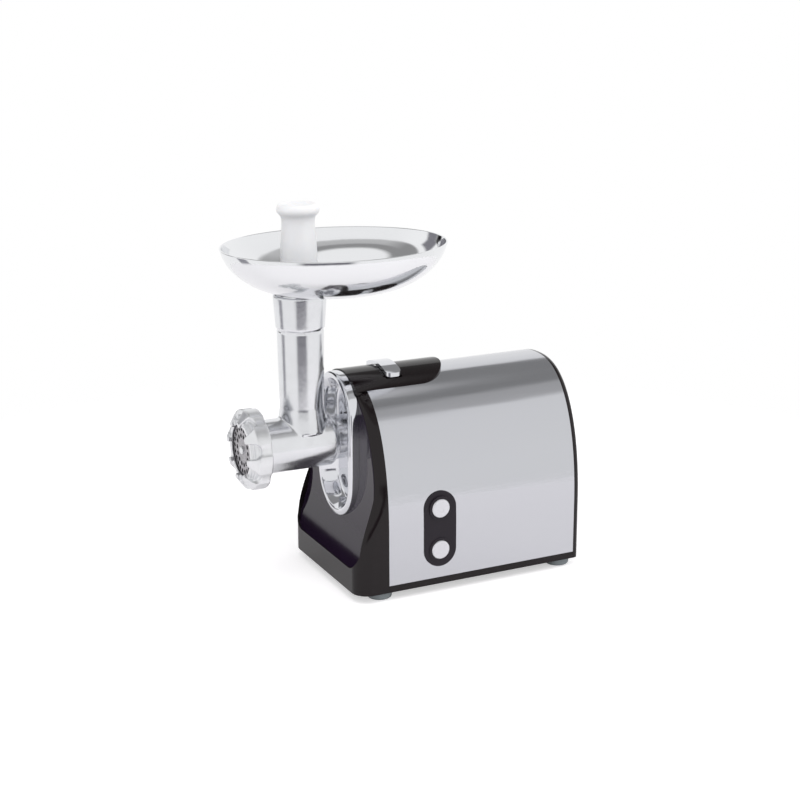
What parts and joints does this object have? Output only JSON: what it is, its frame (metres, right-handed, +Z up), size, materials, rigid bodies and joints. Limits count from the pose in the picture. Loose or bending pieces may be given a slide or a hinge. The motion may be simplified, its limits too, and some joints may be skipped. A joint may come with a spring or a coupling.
{
  "type": "electric meat grinder",
  "caption": "Table-top electric meat grinder: geared motor in an arched steel casing, a screw-fed cast head with a vertical feed tube, an oval food tray and a pusher.",
  "frame": {"origin": "centre of the part's bounding box in plan, at the level the rubber feet stand on", "axes": "+X from the ring nut along the feed screw towards the rear cover, +Y away from the side with the buttons, +Z up along the feed tube"},
  "size_m": [0.3378, 0.1808, 0.3747],
  "materials": {
    "black_shell": "glossy moulded plastic",
    "front_black": "glossy moulded plastic",
    "chromed": "bright chrome plating",
    "brushed": "brushed stainless steel, lines along the casing",
    "rubber": "grey rubber",
    "screw_steel": "zinc plated steel",
    "spring_steel": "spring steel wire",
    "tool_steel": "ground steel",
    "polished_alloy": "polished cast aluminium",
    "satin_alloy": "satin cast aluminium",
    "gear_alloy": "die cast aluminium",
    "bronze": "sintered bronze",
    "tray_steel": "polished stainless steel",
    "pusher_plastic": "milky white plastic",
    "charcoal": "satin dark plastic",
    "silver_plastic": "silver painted plastic",
    "nylon": "natural nylon",
    "copper": "enamelled copper",
    "laminations": "stacked steel sheets",
    "carbon": "pressed carbon",
    "board_green": "coated laminate"
  },
  "bodies": {
    "housing": {"base_pan": "black_shell", "rubber_feet": "rubber", "foot_screws": "screw_steel", "front_cover": "black_shell", "front_panel": "front_black", "bezel": "chromed", "steel_wrap": "brushed", "rear_cover": "black_shell", "rear_screws": "screw_steel", "casing_screws": "screw_steel", "top_cover": "black_shell", "release_spring": "spring_steel", "hub_socket": "gear_alloy", "switch_plate": "charcoal", "power_spring": "spring_steel", "reverse_spring": "spring_steel", "power_switch": "charcoal", "reverse_switch": "charcoal", "gearbox_housing": "gear_alloy", "gearbox_cover": "gear_alloy", "gearbox_screws": "screw_steel", "shaft_bushes": "bronze", "stator_stack": "laminations", "field_coils": "copper", "motor_bracket_front": "gear_alloy", "motor_bracket_rear": "gear_alloy", "motor_bearings": "screw_steel", "tie_bolts": "screw_steel", "brush_holders": "charcoal", "carbon_brushes": "carbon", "circuit_board": "board_green", "terminal_block": "board_green", "cord_gland": "charcoal"},
    "rotor": {"motor_shaft": "screw_steel", "motor_pinion": "tool_steel", "cooling_fan": "charcoal", "rotor_stack": "laminations", "rotor_windings": "copper", "commutator": "copper"},
    "first_idler": {"first_shaft": "screw_steel", "second_pinion": "tool_steel", "first_gear": "nylon"},
    "second_idler": {"second_shaft": "screw_steel", "third_pinion": "tool_steel", "middle_gear": "nylon"},
    "output": {"drive_coupling": "tool_steel", "output_gear": "nylon"},
    "release": {"release_button": "chromed", "latch_plate": "screw_steel"},
    "power_key": {"power_button": "silver_plastic"},
    "reverse_key": {"reverse_button": "silver_plastic"},
    "head": {"head_casting": "polished_alloy", "screw_bush": "bronze", "cutting_plate": "tool_steel"},
    "screw": {"feed_screw": "satin_alloy", "cross_knife": "tool_steel"},
    "nut": {"ring_nut": "satin_alloy"},
    "tray": {"food_tray": "tray_steel"},
    "stomper": {"pusher": "pusher_plastic"}
  },
  "joints": [
    {"name": "motor_spin", "type": "hinge", "parent": "housing", "child": "rotor", "pos_m": [0.05785, 0, 0.072], "axis": [1, 0, 0], "continuous": true},
    {"name": "first_idler_spin", "type": "hinge", "parent": "housing", "child": "first_idler", "pos_m": [-0.00215, 0.028, 0.093], "axis": [1, 0, 0], "continuous": true},
    {"name": "second_idler_spin", "type": "hinge", "parent": "housing", "child": "second_idler", "pos_m": [-0.00215, -0.0165, 0.09968], "axis": [1, 0, 0], "continuous": true},
    {"name": "output_spin", "type": "hinge", "parent": "housing", "child": "output", "pos_m": [-0.00215, 0, 0.14475], "axis": [1, 0, 0], "continuous": true},
    {"name": "screw_spin", "type": "hinge", "parent": "housing", "child": "screw", "pos_m": [-0.10215, 0, 0.14475], "axis": [1, 0, 0], "continuous": true},
    {"name": "head_twist", "type": "hinge", "parent": "housing", "child": "head", "pos_m": [-0.06215, 0, 0.14475], "axis": [1, 0, 0], "range_deg": [0, 45]},
    {"name": "nut_turn", "type": "hinge", "parent": "head", "child": "nut", "pos_m": [-0.15115, 0, 0.14475], "axis": [1, 0, 0], "range_deg": [-720, 0]},
    {"name": "tray_lift", "type": "slide", "parent": "head", "child": "tray", "axis": [0, 0, 1], "range_m": [0, 0.06]},
    {"name": "pusher_slide", "type": "slide", "parent": "head", "child": "stomper", "axis": [0, 0, 1], "range_m": [0, 0.21]},
    {"name": "release_press", "type": "slide", "parent": "housing", "child": "release", "axis": [0, 0, -1], "range_m": [0, 0.003], "stiffness_N_per_m": 800, "springref_m": -0.002, "deforming": ["release_spring"]},
    {"name": "power_press", "type": "slide", "parent": "housing", "child": "power_key", "axis": [0, 1, 0], "range_m": [0, 0.0025], "stiffness_N_per_m": 600, "springref_m": -0.001, "deforming": ["power_spring"]},
    {"name": "reverse_press", "type": "slide", "parent": "housing", "child": "reverse_key", "axis": [0, 1, 0], "range_m": [0, 0.0025], "stiffness_N_per_m": 600, "springref_m": -0.001, "deforming": ["reverse_spring"]}
  ],
  "couplings": [
    {"joint": "first_idler_spin", "follows": "motor_spin", "ratio": -0.21739},
    {"joint": "second_idler_spin", "follows": "motor_spin", "ratio": 0.054348},
    {"joint": "output_spin", "follows": "motor_spin", "ratio": -0.018116},
    {"joint": "screw_spin", "follows": "motor_spin", "ratio": -0.018116}
  ]
}
